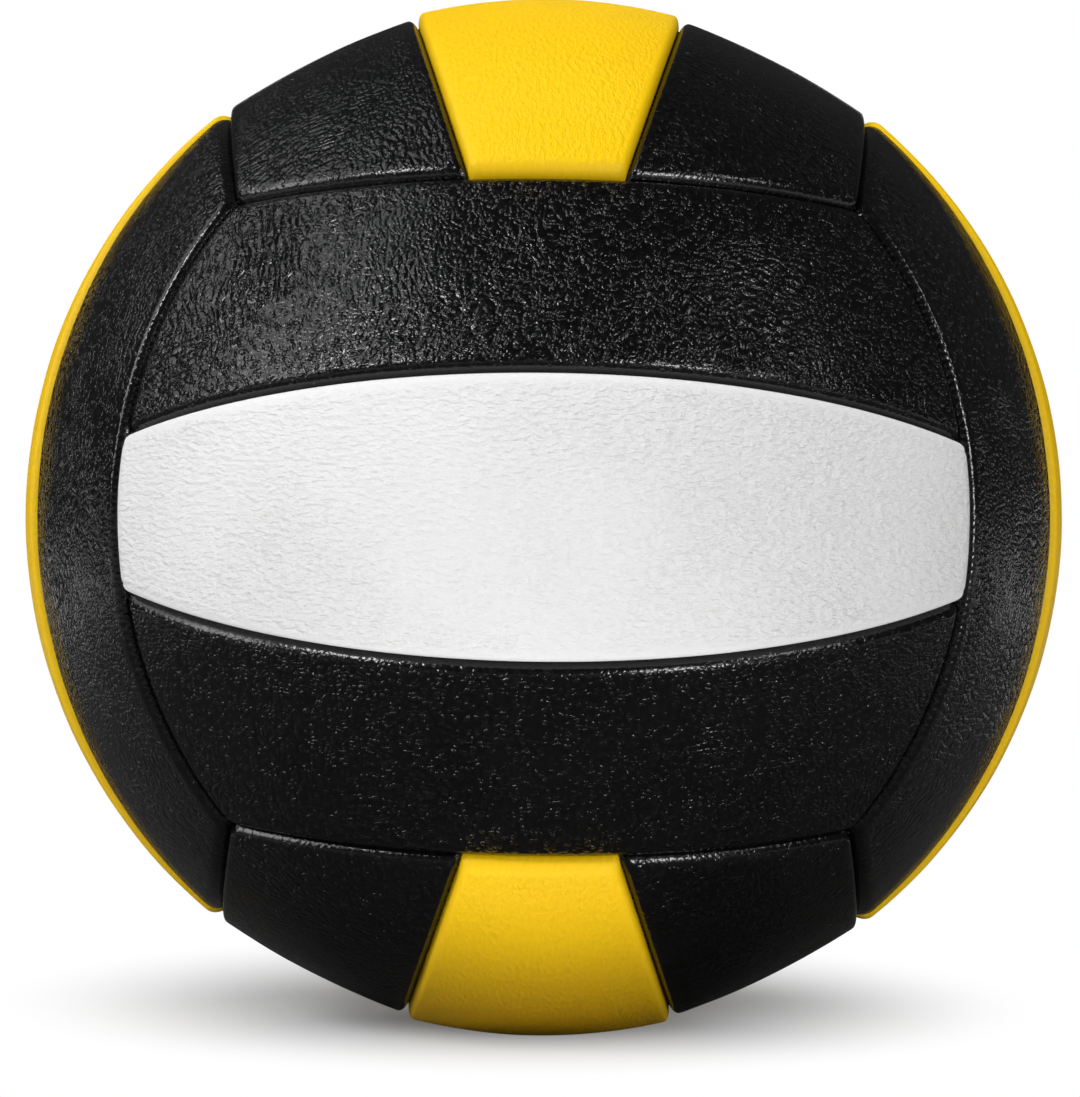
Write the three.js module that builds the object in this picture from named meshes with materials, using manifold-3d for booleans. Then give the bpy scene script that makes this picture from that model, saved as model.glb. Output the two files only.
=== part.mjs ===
// An 18-panel volleyball, weighted for setting practice, taken apart into the pieces that it is sewn and glued
// up from. Millimetres, +Z up, origin at the centre of the ball. The valve is at the back, and looks along +Y.
import * as THREE from "three";
import { mergeVertices } from "three/addons/utils/BufferGeometryUtils.js";
import Module from "manifold-3d";

const wasm = await Module();
wasm.setup();

// Cover: the outer panels lie lower than the middle ones and flatter than the ball, and all dip at their ends
const ballDiameter = 210;
const outerPanelSink = 1.1;
const outerPanelFlattening = 0.6;
const panelEndDip = 0.7;
const shoulderRadius = 2.6;
const skinThickness = 1.2;
const foamThickness = 5;
const skinEdgeClearance = 0.9;
const restFlatDepth = 0.5;

// Seams: angles from the middle of a face to its seams, half way along them
const innerSeamAngle = THREE.MathUtils.degToRad(15);
const edgeSeamAngle = THREE.MathUtils.degToRad(38.3);
const innerSeamEndShare = 0.248;
const threadDiameter = 0.5;
const threadClearance = 0.25;

// Layers under the cover
const fitClearance = 0.3;
const liningThickness = 0.6;
const weightThickness = 1;
const bladderThickness = 1;

// Valve
const neckRadius = 4.6;
const neckRecess = 0.9;
const neckDepth = 4;
const bossRadius = 9;
const bossThickness = 3.2;
const valveHeadRadius = 3.2;
const valveHeadThickness = 1;
const valveStemRadius = 2;
const valveBarbRadius = 2.9;
const valveBarbLength = 2.2;
const valveTipRadius = 1.4;
const needleRadius = 0.7;

// How finely the shapes are faceted
const skinAlongShares = [0.1, 0.2, 0.3, 0.4, 0.5, 0.6, 0.7, 0.8, 0.9];
const skinAcrossShares = [0.25, 0.5, 0.75];
const shoulderTurnShares = [0, 0.5, 1];
const foamAlongShares = [0.12, 0.24, 0.37, 0.5, 0.63, 0.76, 0.88];
const foamAcrossShares = [0.5];
const layerDetail = 3;
const roundSides = 24;
const threadSides = 3;
const threadSteps = 10;
const cutOverrun = 5;

const ballRadius = ballDiameter / 2;
const threadRadius = threadDiameter / 2;
const seamGap = threadDiameter + 2 * threadClearance;
const seamDepth = outerPanelSink + panelEndDip + shoulderRadius + threadDiameter;
const coverFloorRadius = ballRadius - skinThickness - fitClearance - foamThickness;
const skinEdgeRadius = coverFloorRadius + skinEdgeClearance;
const liningRadius = coverFloorRadius - fitClearance;
const weightRadius = liningRadius - liningThickness - fitClearance;
const bladderRadius = weightRadius - weightThickness - fitClearance;

// Solids: three.js geometry in and out of the boolean library

function solidOf(geometry) {
  const bare = geometry.clone();
  bare.deleteAttribute("normal");
  bare.deleteAttribute("uv");
  const merged = mergeVertices(bare);
  const vertProperties = merged.attributes.position.array;
  const triVerts = new Uint32Array(merged.index.array);
  return new wasm.Manifold(new wasm.Mesh({ numProp: 3, vertProperties, triVerts }));
}

function geometryOf(solid) {
  const { vertProperties, triVerts } = solid.getMesh();
  const geometry = new THREE.BufferGeometry();
  geometry.setAttribute("position", new THREE.BufferAttribute(vertProperties, 3));
  geometry.setIndex(new THREE.BufferAttribute(triVerts, 1));
  geometry.computeVertexNormals();
  return geometry;
}

function ball(radius) {
  return solidOf(new THREE.IcosahedronGeometry(radius, layerDetail));
}

function shell(radius, thickness) {
  return ball(radius).subtract(ball(radius - thickness));
}

// A round post along +Z, the way out of the ball in a face's own frame
function post(radius, from, to) {
  const geometry = new THREE.CylinderGeometry(radius, radius, to - from, roundSides);
  geometry.rotateX(Math.PI / 2);
  geometry.translate(0, 0, (from + to) / 2);
  return solidOf(geometry);
}

// Seam layout, on a ball of radius 1. Each face of the ball has three strips side by side. In its own frame x
// runs along the strips, y across them and z out of the ball, and every seam lies in a plane.

const corner = 1 / Math.sqrt(3);

// The line through two points of a plane that cuts the ball square on: how far it passes from the centre, and
// the radius of the circle that it cuts
function lineThrough(first, second) {
  const along = second.clone().sub(first).normalize();
  const normal = new THREE.Vector2(-along.y, along.x);
  const distance = normal.dot(first);
  const foot = normal.clone().multiplyScalar(distance);
  return { along, foot, radius: Math.sqrt(1 - distance * distance) };
}

// The point at a height across the face, on the seam that runs round the end of its strips
function endPoint(height) {
  const middle = new THREE.Vector2(Math.cos(edgeSeamAngle), Math.sin(edgeSeamAngle));
  const { along, foot } = lineThrough(new THREE.Vector2(corner, corner), middle);
  const reach = Math.sqrt(1 - height * height - foot.lengthSq());
  const at = foot.clone().addScaledVector(along, reach);
  return new THREE.Vector3(at.x, height, at.y);
}

// A line that runs the length of a face, at a share from 0 to 1 of the way from end seam to end seam
class LengthwiseLine {
  constructor({ angle, height }) {
    const end = endPoint(height);
    const first = new THREE.Vector2(end.y, end.z);
    const middle = new THREE.Vector2(Math.sin(angle), Math.cos(angle));
    const { along, foot, radius } = lineThrough(first, middle);
    this.along = along;
    this.foot = foot;
    this.radius = radius;
    this.endAngle = Math.atan2(end.x, first.sub(foot).dot(along));
  }

  length() {
    return 2 * this.endAngle * this.radius * ballRadius;
  }

  direction(share) {
    const angle = (2 * share - 1) * this.endAngle;
    const at = this.foot.clone().addScaledVector(this.along, this.radius * Math.cos(angle));
    return new THREE.Vector3(this.radius * Math.sin(angle), at.x, at.y);
  }
}

// The four seams that run the length of a face, and the three strips between them
const edgeSeam = { angle: edgeSeamAngle, height: corner };
const innerSeam = { angle: innerSeamAngle, height: corner * innerSeamEndShare };
const mirrored = ({ angle, height }) => ({ angle: -angle, height: -height });
const lengthwiseSeams = [mirrored(edgeSeam), mirrored(innerSeam), innerSeam, edgeSeam];
const strips = [
  { low: lengthwiseSeams[0], high: lengthwiseSeams[1], sink: outerPanelSink, flattening: outerPanelFlattening },
  { low: lengthwiseSeams[1], high: lengthwiseSeams[2], sink: 0, flattening: 0 },
  { low: lengthwiseSeams[2], high: lengthwiseSeams[3], sink: outerPanelSink, flattening: outerPanelFlattening },
];

function lineAcross({ low, high }, share) {
  return new LengthwiseLine({
    angle: THREE.MathUtils.lerp(low.angle, high.angle, share),
    height: THREE.MathUtils.lerp(low.height, high.height, share),
  });
}

function widthAt(strip, share) {
  const low = lineAcross(strip, 0).direction(share);
  const high = lineAcross(strip, 1).direction(share);
  return low.angleTo(high) * ballRadius;
}

// Panels: each is a pad with a crowned top and rolled shoulders, whose sides run in towards the centre

// How far a shoulder has dropped at a distance in from the side
function shoulderDrop(distance, shoulder) {
  const short = THREE.MathUtils.clamp(shoulder - distance, 0, shoulder);
  return shoulder - Math.sqrt(shoulder * shoulder - short * short);
}

// The rows of points over a pad: over one shoulder, at shares of the width or length, and over the other
function rowsOver(inset, shoulder, shares) {
  const turnShares = shoulder > 0 ? shoulderTurnShares : [0];
  const distances = turnShares.map((share) => inset + shoulder * (1 - Math.cos((share * Math.PI) / 2)));
  const near = distances.map((distance) => ({ share: 0, distance }));
  const far = distances.map((distance) => ({ share: 1, distance: -distance }));
  return [...near, ...shares.map((share) => ({ share, distance: 0 })), ...far.reverse()];
}

// The outer or inner face of a panel, set in all round by a depth from the outer face of its skin: rows of
// points along x, each of them with its columns along y
function stripGrid(strip, { depth, shoulder, alongShares, acrossShares }) {
  const inset = seamGap / 2 + depth;
  const middleLength = lineAcross(strip, 1 / 2).length();
  return rowsOver(inset, shoulder, alongShares).map((alongRow) => {
    const width = widthAt(strip, alongRow.share + alongRow.distance / middleLength);
    return rowsOver(inset, shoulder, acrossShares).map((acrossRow) => {
      const across = acrossRow.share + acrossRow.distance / width;
      const line = lineAcross(strip, across);
      const along = alongRow.share + alongRow.distance / line.length();
      const sideDrop = shoulderDrop(Math.min(across, 1 - across) * width - inset, shoulder);
      const endDrop = shoulderDrop(Math.min(along, 1 - along) * line.length() - inset, shoulder);
      const drop = sideDrop + endDrop - (sideDrop * endDrop) / shoulderRadius;
      const flattening = strip.flattening * (1 - (2 * across - 1) ** 2);
      const dip = panelEndDip * (2 * along - 1) ** 4;
      return line.direction(along).multiplyScalar(ballRadius - strip.sink - flattening - dip - depth - drop);
    });
  });
}

// Surfaces are lists of triangles, each of three points, counterclockwise seen from outside

function gridFaces(grid) {
  return grid.slice(1).flatMap((nextRow, row) =>
    nextRow.slice(1).flatMap((opposite, column) => {
      const here = grid[row][column];
      return [
        [here, nextRow[column], opposite],
        [here, opposite, grid[row][column + 1]],
      ];
    }),
  );
}

function borderOf(grid) {
  const lastColumn = grid[0].length - 1;
  const low = grid.map((row) => row[0]);
  const high = grid.map((row) => row[lastColumn]).reverse();
  return [...low, ...grid.at(-1).slice(1, -1), ...high, ...grid[0].slice(1, -1).reverse()];
}

function wallFaces(top, foot) {
  return top.flatMap((point, i) => {
    const next = (i + 1) % top.length;
    return [
      [point, foot[i], foot[next]],
      [point, foot[next], top[next]],
    ];
  });
}

// The ring between two loops that start side by side, always taking the shorter way across to the next point
function ringFaces(outer, inner) {
  const faces = [];
  let i = 0;
  let j = 0;
  while (i < outer.length || j < inner.length) {
    const here = outer[i % outer.length];
    const there = inner[j % inner.length];
    const nextOuter = outer[(i + 1) % outer.length];
    const nextInner = inner[(j + 1) % inner.length];
    const outerIsShorter = nextOuter.distanceTo(there) < nextInner.distanceTo(here);
    if (j === inner.length || (i < outer.length && outerIsShorter)) {
      faces.push([here, nextOuter, there]);
      i += 1;
    } else {
      faces.push([here, nextInner, there]);
      j += 1;
    }
  }
  return faces;
}

const flipped = (faces) => faces.map(([a, b, c]) => [a, c, b]);

function closedBy(faces) {
  return solidOf(new THREE.BufferGeometry().setFromPoints(faces.flat()));
}

function skinOver(strip) {
  const outside = { depth: 0, shoulder: shoulderRadius };
  const outer = stripGrid(strip, { ...outside, alongShares: skinAlongShares, acrossShares: skinAcrossShares });
  const inner = stripGrid(strip, insideFace(skinThickness));
  const outerRim = borderOf(outer).map((point) => point.clone().setLength(skinEdgeRadius));
  const innerRim = borderOf(inner).map((point) => point.clone().setLength(skinEdgeRadius));
  return closedBy([
    ...gridFaces(outer),
    ...wallFaces(borderOf(outer), outerRim),
    ...flipped(ringFaces(outerRim, innerRim)),
    ...flipped(wallFaces(borderOf(inner), innerRim)),
    ...flipped(gridFaces(inner)),
  ]);
}

function insideFace(depth) {
  return { depth, shoulder: 0, alongShares: foamAlongShares, acrossShares: foamAcrossShares };
}

// The foam is a wedge from the centre of the ball, cut off where the layers under the cover begin
function foamUnder(strip) {
  const grid = stripGrid(strip, insideFace(skinThickness + fitClearance));
  const centre = new THREE.Vector3();
  const border = borderOf(grid);
  const sides = border.map((point, i) => [point, centre, border[(i + 1) % border.length]]);
  return closedBy([...gridFaces(grid), ...sides]).subtract(ball(coverFloorRadius));
}

// What only two of the panels have: the hole for the valve, and the flat where the ball rests

function withValveHole(solid) {
  return solid.subtract(post(neckRadius + fitClearance, 0, ballRadius + cutOverrun));
}

function withRestFlat(solid) {
  const flatHeight = ballRadius - restFlatDepth;
  return solid.subtract(post(ballRadius, flatHeight, ballRadius + cutOverrun));
}

// Stitching: the thread of every seam, all one net, as seams cross where panels meet

class SeamPath extends THREE.Curve {
  constructor(seam, turn) {
    super();
    this.line = new LengthwiseLine(seam);
    this.overrun = threadRadius / 2 / this.line.length();
    this.turn = turn;
  }

  getPoint(share) {
    const along = THREE.MathUtils.lerp(-this.overrun, 1 + this.overrun, share);
    return this.line.direction(along).applyQuaternion(this.turn).multiplyScalar(ballRadius - seamDepth);
  }
}

function threadAlong(seam, turn) {
  const outline = Array.from({ length: threadSides }, (_, i) => {
    const angle = (2 * Math.PI * i) / threadSides;
    return new THREE.Vector2(Math.cos(angle), Math.sin(angle)).multiplyScalar(threadRadius);
  });
  const extrudePath = new SeamPath(seam, turn);
  const geometry = new THREE.ExtrudeGeometry(new THREE.Shape(outline), { steps: threadSteps, extrudePath });
  return solidOf(geometry);
}

function stitching(faces) {
  const threads = faces.flatMap(({ turn }) => lengthwiseSeams.map((seam) => threadAlong(seam, turn)));
  return threads.reduce((net, thread) => net.add(thread));
}

// Bladder and valve, both with the valve's axis along +Z

const neckTop = ballRadius - neckRecess;
const neckFoot = bladderRadius - neckDepth;

function bladder() {
  const boss = post(bossRadius, bladderRadius - bossThickness, bladderRadius).intersect(ball(bladderRadius));
  const neck = post(neckRadius, neckFoot, neckTop);
  const seat = post(
    valveHeadRadius + fitClearance,
    neckTop - valveHeadThickness - fitClearance,
    neckTop + cutOverrun,
  );
  const bore = post(valveStemRadius + fitClearance, neckFoot - cutOverrun, neckTop);
  return shell(bladderRadius, bladderThickness).add(boss).add(neck).subtract(seat).subtract(bore);
}

function valve() {
  const headFoot = neckTop - valveHeadThickness;
  const barbTop = neckFoot - fitClearance;
  const profile = [
    [needleRadius, neckTop],
    [needleRadius, barbTop - valveBarbLength],
    [valveTipRadius, barbTop - valveBarbLength],
    [valveBarbRadius, barbTop],
    [valveStemRadius, barbTop],
    [valveStemRadius, headFoot],
    [valveHeadRadius, headFoot],
    [valveHeadRadius, neckTop],
    [needleRadius, neckTop],
  ];
  const points = profile.map(([radius, height]) => new THREE.Vector2(radius, height));
  const geometry = new THREE.LatheGeometry(points, roundSides);
  geometry.rotateX(Math.PI / 2);
  return solidOf(geometry);
}

// The six faces, each with its own frame, and its strips named from low y to high y of that frame

function turnTo(along, out) {
  const across = new THREE.Vector3().crossVectors(out, along);
  const basis = new THREE.Matrix4().makeBasis(along, across, out);
  return new THREE.Quaternion().setFromRotationMatrix(basis);
}

const right = new THREE.Vector3(1, 0, 0);
const left = new THREE.Vector3(-1, 0, 0);
const back = new THREE.Vector3(0, 1, 0);
const front = new THREE.Vector3(0, -1, 0);
const up = new THREE.Vector3(0, 0, 1);
const down = new THREE.Vector3(0, 0, -1);

const faces = [
  { name: "front", turn: turnTo(right, front), stripNames: ["lower", "middle", "upper"] },
  { name: "back", turn: turnTo(left, back), stripNames: ["lower", "middle", "upper"] },
  { name: "right", turn: turnTo(up, right), stripNames: ["back", "middle", "front"] },
  { name: "left", turn: turnTo(up, left), stripNames: ["front", "middle", "back"] },
  { name: "top", turn: turnTo(back, up), stripNames: ["right", "middle", "left"] },
  { name: "bottom", turn: turnTo(back, down), stripNames: ["left", "middle", "right"] },
];

// Materials

const blackLeather = { color: "#1d1d1f", roughness: 0.45 };
const whiteLeather = { color: "#efefef", roughness: 0.5 };
const yellowLeather = { color: "#fdcf12", roughness: 0.5 };
const foam = { color: "#cfcfca", roughness: 0.9 };
const blackThread = { color: "#111112", roughness: 0.8 };
const cloth = { color: "#e4e0d4", roughness: 0.9 };
const weightedRubber = { color: "#3a3632", roughness: 0.8 };
const butyl = { color: "#26262a", roughness: 0.6 };
const valveRubber = { color: "#b9b4a6", roughness: 0.6 };

function piece(name, geometry, finish) {
  const mesh = new THREE.Mesh(geometry, new THREE.MeshStandardMaterial({ ...finish, metalness: 0 }));
  mesh.name = name;
  return mesh;
}

// Assembly

function stripFinish(face, index) {
  if (index !== 1) return blackLeather;
  return face.name === "front" || face.name === "back" ? whiteLeather : yellowLeather;
}

const skins = strips.map(skinOver);
const foams = strips.map(foamUnder);

function panelsOf(face) {
  const group = new THREE.Group();
  group.quaternion.copy(face.turn);
  face.stripNames.forEach((stripName, index) => {
    let skin = skins[index];
    let pad = foams[index];
    if (face.name === "back" && stripName === "middle") {
      skin = withValveHole(skin);
      pad = withValveHole(pad);
    }
    if (face.name === "bottom" && stripName === "middle") skin = withRestFlat(skin);
    group.add(piece(`${face.name}_${stripName}_skin`, geometryOf(skin), stripFinish(face, index)));
    group.add(piece(`${face.name}_${stripName}_foam`, geometryOf(pad), foam));
  });
  return group;
}

const core = new THREE.Group();
core.quaternion.copy(turnTo(left, back));
core.add(piece("cloth_lining", geometryOf(withValveHole(shell(liningRadius, liningThickness))), cloth));
core.add(piece("weight_layer", geometryOf(withValveHole(shell(weightRadius, weightThickness))), weightedRubber));
core.add(piece("bladder", geometryOf(bladder()), butyl));
core.add(piece("valve", geometryOf(valve()), valveRubber));

const volleyball = new THREE.Group();
volleyball.add(...faces.map(panelsOf));
volleyball.add(piece("seam_stitching", geometryOf(stitching(faces)), blackThread));
volleyball.add(core);

export default volleyball;
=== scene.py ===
import math
from functools import partial

import bpy
import numpy as np
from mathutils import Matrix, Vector


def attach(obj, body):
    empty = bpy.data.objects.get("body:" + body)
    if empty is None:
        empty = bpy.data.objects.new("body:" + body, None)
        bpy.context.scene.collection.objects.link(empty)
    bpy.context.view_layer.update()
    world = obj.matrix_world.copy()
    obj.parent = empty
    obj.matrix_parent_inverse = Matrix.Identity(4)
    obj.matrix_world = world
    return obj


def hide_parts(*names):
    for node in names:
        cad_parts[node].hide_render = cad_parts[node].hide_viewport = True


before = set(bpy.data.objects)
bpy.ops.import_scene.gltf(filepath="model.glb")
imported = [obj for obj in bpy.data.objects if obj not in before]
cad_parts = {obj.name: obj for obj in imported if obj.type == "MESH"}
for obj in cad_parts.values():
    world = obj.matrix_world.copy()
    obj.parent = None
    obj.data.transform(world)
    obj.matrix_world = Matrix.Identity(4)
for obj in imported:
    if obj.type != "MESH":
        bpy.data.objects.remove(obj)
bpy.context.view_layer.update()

# A weighted volleyball for setting practice, put together from the inside outwards as the real one is.
# Sizes are in millimetres, apart from those of the view and the studio.
MM = 0.001


# The view
# The ball is seen square on from the front, from about a metre away through a long lens, at the height of its
# middle. The picture leans a little to the right.

camera_distance = 0.977
focal_pixels = 4797
picture_pixels = (1080, 1097)
ball_middle_pixels = (543.7, 517.3)
sensor_height = 36
camera_roll = math.radians(0.58)

camera_data = bpy.data.cameras.new("camera")
camera_data.sensor_fit = "VERTICAL"
camera_data.sensor_height = sensor_height
camera_data.lens = focal_pixels * sensor_height / picture_pixels[1]
camera_data.shift_x = (picture_pixels[0] / 2 - ball_middle_pixels[0]) / picture_pixels[1]
camera_data.shift_y = (ball_middle_pixels[1] - picture_pixels[1] / 2) / picture_pixels[1]
camera = bpy.data.objects.new("camera", camera_data)
camera.location = (0, -camera_distance, 0)
camera.rotation_euler = (math.pi / 2, -camera_roll, 0)
bpy.context.scene.collection.objects.link(camera)
bpy.context.scene.camera = camera
bpy.context.scene.view_settings.view_transform = "Standard"


# Bladder
# A hollow ball of butyl rubber, moulded in one with the boss and the neck that hold the valve. The neck
# reaches the cover through a hole at the back of the ball.

bladder_radius = 96.0
bladder_thickness = 1.0
boss_radius = 9.0
boss_thickness = 3.2
boss_foot_slope = 1.0
neck_radius = 4.6
neck_top = 104.1
neck_foot = 92.0
neck_edge_rounding = 0.5
seat_radius = 3.5
seat_depth = 1.3
bore_radius = 2.3
ball_turns = 128
ball_rows = 96
on_axis = 1e-6
talc_cloud = 16.7
butyl_pore = 1.11
butyl_relief = 0.05


def linear(hex_colour):
    channels = [int(hex_colour[i : i + 2], 16) / 255 for i in (1, 3, 5)]
    return [c / 12.92 if c <= 0.04045 else ((c + 0.055) / 1.055) ** 2.4 for c in channels] + [1]


def add_node(tree, kind, links=(), **settings):
    """Adds a node with its settings, and gives its outputs. links holds what its inputs get, in their order
    or by name: another node's output, or a value."""
    node = tree.nodes.new(kind)
    for name, value in settings.items():
        setattr(node, name, value)
    for name, source in links.items() if isinstance(links, dict) else enumerate(links):
        if isinstance(source, bpy.types.NodeSocket):
            tree.links.new(source, node.inputs[name])
        else:
            node.inputs[name].default_value = source
    return node.outputs


def new_material(name):
    """An empty material, and its tree."""
    material = bpy.data.materials.new(name)
    material.use_nodes = True
    material.node_tree.nodes.clear()
    return material, material.node_tree


def give_surface(tree, tones, pattern, relief=None, relief_height=0, **plain):
    """Ends a material's tree: a pattern mixes its two tones, a relief in millimetres gives it its fine bumps,
    and plain holds what the shader's other sockets get."""
    links = {socket.replace("_", " "): value for socket, value in plain.items()}
    tones = {6: linear(tones[0]), 7: linear(tones[1])}
    links["Base Color"] = add_node(tree, "ShaderNodeMix", {0: pattern, **tones}, data_type="RGBA")[2]
    if relief is not None:
        bump = {"Height": relief, "Distance": relief_height * MM}
        links["Normal"] = add_node(tree, "ShaderNodeBump", bump)[0]
    shader = add_node(tree, "ShaderNodeBsdfPrincipled", links)
    add_node(tree, "ShaderNodeOutputMaterial", {"Surface": shader[0]})


def pole_angle(radius, distance):
    return math.asin(distance / radius)


def sphere_profile(radius, start_angle, end_angle, rows):
    """Points (distance from the axis, height) on a circle, from one angle below the top to another."""
    return [(radius * math.sin(a), radius * math.cos(a)) for a in np.linspace(start_angle, end_angle, rows)]


def rounded(profile, corner, size, steps=4):
    """The profile with one corner replaced by a small arc."""
    before, at, after = (np.array(profile[corner + k], float) for k in (-1, 0, 1))
    start = at + (before - at) * size / np.linalg.norm(before - at)
    end = at + (after - at) * size / np.linalg.norm(after - at)
    arc = [(1 - t) ** 2 * start + 2 * t * (1 - t) * at + t * t * end for t in np.linspace(0, 1, steps + 1)]
    return profile[:corner] + [tuple(p) for p in arc] + profile[corner + 1 :]


def plain_piece(name, points, faces, material=None):
    """A smooth-shaded object with those points and faces, turned the right way out."""
    mesh = bpy.data.meshes.new(name)
    mesh.from_pydata(points.tolist(), [], faces)
    mesh.update()
    mesh.calc_loop_triangles()
    corners = np.array([t.vertices for t in mesh.loop_triangles])
    a, b, c = (points[corners[:, k]] for k in range(3))
    if np.einsum("ij,ij->", a, np.cross(b, c)) < 0:
        mesh.flip_normals()
    mesh.polygons.foreach_set("use_smooth", [True] * len(mesh.polygons))
    if material:
        mesh.materials.append(material)
    piece = bpy.data.objects.new(name, mesh)
    bpy.context.scene.collection.objects.link(piece)
    return piece


def turned_piece(name, profile, material, closed=False, turns=ball_turns):
    """A piece turned about the valve's axis, which points out at the back of the ball."""
    angles = np.linspace(0, 2 * math.pi, turns, endpoint=False)
    points, rings = [], []
    for distance, height in profile:
        if distance < on_axis:
            rings.append([len(points)] * turns)
            points.append((0, height, 0))
        else:
            rings.append(list(range(len(points), len(points) + turns)))
            points.extend((distance * math.cos(a), height, distance * math.sin(a)) for a in angles)
    pairs = list(zip(rings, rings[1:] + rings[:1]))
    faces = []
    for low, high in pairs if closed else pairs[:-1]:
        for i in range(turns):
            j = (i + 1) % turns
            face = [low[i], low[j], high[j], high[i]]
            face = [v for k, v in enumerate(face) if v != face[k - 1]]
            if len(face) > 2:
                faces.append(face)
    return plain_piece(name, np.array(points) * MM, faces, material)


# Butyl rubber, moulded: black with a dull, slightly dusty skin from the talc in the mould.
butyl, butyl_tree = new_material("moulded_butyl_rubber")
butyl_place = add_node(butyl_tree, "ShaderNodeTexCoord")["Object"]
talc_links = {"Vector": butyl_place, "Scale": 1 / (talc_cloud * MM), "Detail": 6}
talc = add_node(butyl_tree, "ShaderNodeTexNoise", talc_links)[0]
pore_links = {"Vector": butyl_place, "Scale": 1 / (butyl_pore * MM)}
butyl_pores = add_node(butyl_tree, "ShaderNodeTexNoise", pore_links)[0]
give_surface(butyl_tree, ("#1c1c1f", "#3a3a3d"), talc, butyl_pores, butyl_relief, Roughness=0.55, IOR=1.52)

boss_angle = pole_angle(bladder_radius, boss_radius)
bladder_inside = bladder_radius - bladder_thickness
boss_foot = bladder_radius - boss_thickness
neck_profile = [
    (neck_radius, math.sqrt(bladder_radius**2 - neck_radius**2)),
    (neck_radius, neck_top),
    (seat_radius, neck_top),
    (seat_radius, neck_top - seat_depth),
    (bore_radius, neck_top - seat_depth),
    (bore_radius, neck_foot),
    (neck_radius, neck_foot),
    (neck_radius, boss_foot),
    (boss_radius, boss_foot),
    (boss_radius, math.sqrt(bladder_inside**2 - boss_radius**2)),
]
# The edge of the boss and both ends of the neck are rounded.
for corner_index in (8, 6, 1):
    neck_profile = rounded(neck_profile, corner_index, neck_edge_rounding)
inside_angle = pole_angle(bladder_inside, boss_radius + boss_foot_slope)
bladder_profile = [
    *sphere_profile(bladder_radius, math.pi, boss_angle, ball_rows),
    *neck_profile,
    *sphere_profile(bladder_inside, inside_angle, math.pi, ball_rows),
]
bladder_piece = turned_piece("bladder_moulding", bladder_profile, butyl)
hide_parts("bladder")
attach(bladder_piece, "root")


# Valve
# A needle valve of soft natural rubber, greased and pushed into the neck from outside. Its barb snaps out
# below the neck, and its head lies in the seat, level with the end of the neck.

valve_head_radius = 3.2
valve_head_thickness = 1.0
valve_stem_radius = 2.0
valve_barb_radius = 2.9
valve_barb_length = 2.2
valve_tip_radius = 1.4
needle_radius = 0.7
needle_lead_in = 0.35
valve_fit = 0.3
head_rounding = 0.3
barb_rounding = 0.2
valve_turns = 48
valve_cloud = 3.33

# Natural rubber, moulded: a warm pale grey that is slightly waxy, so its lights are broad and soft.
valve_rubber, valve_tree = new_material("moulded_natural_rubber")
valve_place = add_node(valve_tree, "ShaderNodeTexCoord")["Object"]
bloom_links = {"Vector": valve_place, "Scale": 1 / (valve_cloud * MM), "Detail": 4}
bloom = add_node(valve_tree, "ShaderNodeTexNoise", bloom_links)[0]
give_surface(
    valve_tree, ("#aaa494", "#c3beb0"), bloom, Roughness=0.5, IOR=1.52,
    Subsurface_Weight=0.1, Subsurface_Radius=(0.002, 0.0015, 0.001), Subsurface_Scale=1,
)

barb_top = neck_foot - valve_fit
head_foot = neck_top - valve_head_thickness
valve_profile = [
    (needle_radius, neck_top - needle_lead_in),
    (needle_radius, barb_top - valve_barb_length),
    (valve_tip_radius, barb_top - valve_barb_length),
    (valve_barb_radius, barb_top),
    (valve_stem_radius, barb_top),
    (valve_stem_radius, head_foot),
    (valve_head_radius, head_foot),
    (valve_head_radius, neck_top),
    (needle_radius + needle_lead_in, neck_top),
]
# The edges of the head, the barb and the tip are rounded.
for corner_index, size in ((7, head_rounding), (3, barb_rounding), (2, barb_rounding)):
    valve_profile = rounded(valve_profile, corner_index, size)
valve_piece = turned_piece("needle_valve", valve_profile, valve_rubber, closed=True, turns=valve_turns)
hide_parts("valve")
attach(valve_piece, "root")


# Weight layer
# A sheet of rubber filled with heavy powder, laid over the bladder in shaped pieces that are cured into one
# shell. It gives the ball its extra weight, and the neck passes through a hole in it.

weight_radius = 97.3
weight_thickness = 1.0
neck_hole_radius = 4.9
filler_grain = 0.83
filler_relief = 0.08


def shell_profile(radius, thickness):
    inside = radius - thickness
    outer = sphere_profile(radius, math.pi, pole_angle(radius, neck_hole_radius), ball_rows)
    inner = sphere_profile(inside, pole_angle(inside, neck_hole_radius), math.pi, ball_rows)
    return outer + inner


# Filled rubber, calendered and cured: brown-black and matt. The grains of the filler just under its skin are
# drawn coarser than they are.
weight_rubber, weight_tree = new_material("calendered_filled_rubber")
weight_place = add_node(weight_tree, "ShaderNodeTexCoord")["Object"]
filler_links = {"Vector": weight_place, "Scale": 1 / (filler_grain * MM)}
filler = add_node(weight_tree, "ShaderNodeTexVoronoi", filler_links)[0]
give_surface(weight_tree, ("#46413b", "#2b2825"), filler, filler, filler_relief, Roughness=0.75, IOR=1.52)

weight_piece = turned_piece("weight_shell", shell_profile(weight_radius, weight_thickness), weight_rubber)
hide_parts("weight_layer")
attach(weight_piece, "root")


# Cloth lining
# A polyester-cotton cloth, cut into gores that run from pole to pole and glued over the weight layer, edge to
# edge. It keeps the ball from growing when it is pumped up.

lining_radius = 98.2
lining_thickness = 0.6
thread_spacing = 1.2
weave_relief = 0.15
wave_length_at_scale_1 = 20 / (2 * math.pi)

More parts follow.
